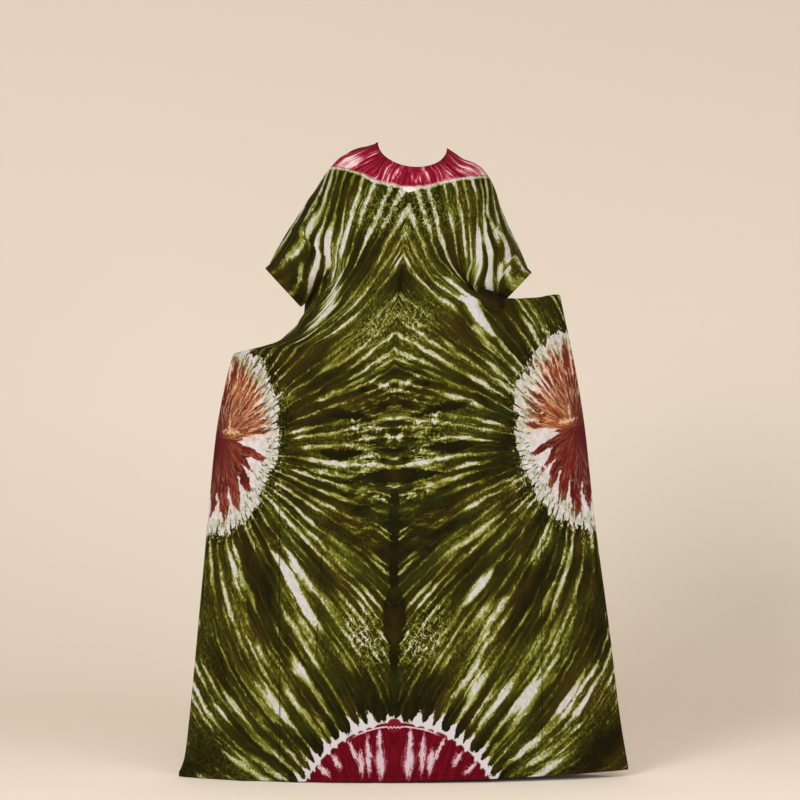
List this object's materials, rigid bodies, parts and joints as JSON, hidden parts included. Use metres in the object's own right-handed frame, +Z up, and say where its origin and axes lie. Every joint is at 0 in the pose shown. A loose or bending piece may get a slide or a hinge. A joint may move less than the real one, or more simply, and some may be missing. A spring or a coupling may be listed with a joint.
{
  "type": "grand boubou robe, worn form",
  "caption": "Wide tie-dyed cotton boubou robe in its hollow worn form, with round neck, open loose sleeves and both side seams held out.",
  "frame": {"origin": "middle of the neck hole on the shoulder line, where the wearer's neck and shoulders carry the robe", "axes": "+Z up, -Y out of the robe's front, +X to the right of a viewer who faces the front"},
  "size_m": [1.0352, 0.2485, 1.4595],
  "materials": {
    "tie_dyed_cotton": "matte plain-weave cotton, tie-dyed olive on white with crimson neck and hem discs and rust half sunbursts at the sides",
    "turned_hem": "matte cotton, double turned and stitched",
    "neck_edge": "matte crimson cotton, narrow turned edge"
  },
  "bodies": {
    "root": {"front_panel": "tie_dyed_cotton", "back_panel": "tie_dyed_cotton", "left_sleeve_hem": "turned_hem", "right_sleeve_hem": "turned_hem", "front_hem": "turned_hem", "back_hem": "turned_hem", "neck_binding": "neck_edge"}
  },
  "joints": []
}
